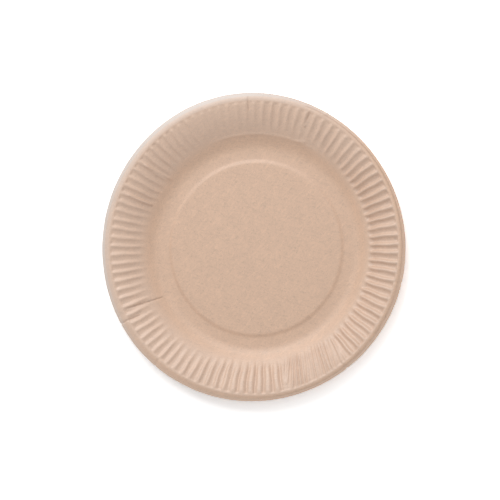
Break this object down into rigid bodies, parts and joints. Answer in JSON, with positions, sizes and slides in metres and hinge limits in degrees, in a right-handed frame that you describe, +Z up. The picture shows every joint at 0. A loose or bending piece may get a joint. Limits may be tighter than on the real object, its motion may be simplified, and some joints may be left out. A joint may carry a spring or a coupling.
{
  "type": "paper plate",
  "caption": "Round shallow paper plate pressed from one sheet of kraft board, with a raised centre, a fluted flange and a plain rolled lip.",
  "frame": {"origin": "centre of the outer edge, on the plane that the foot ring rests on", "axes": "+Z up through the centre of the plate, square to the resting plane; +X towards the right of the picture and +Y towards its top"},
  "size_m": [0.23, 0.23, 0.0172],
  "materials": {
    "kraft_paper": "satin"
  },
  "bodies": {
    "root": {"plate": "kraft_paper"}
  },
  "joints": []
}
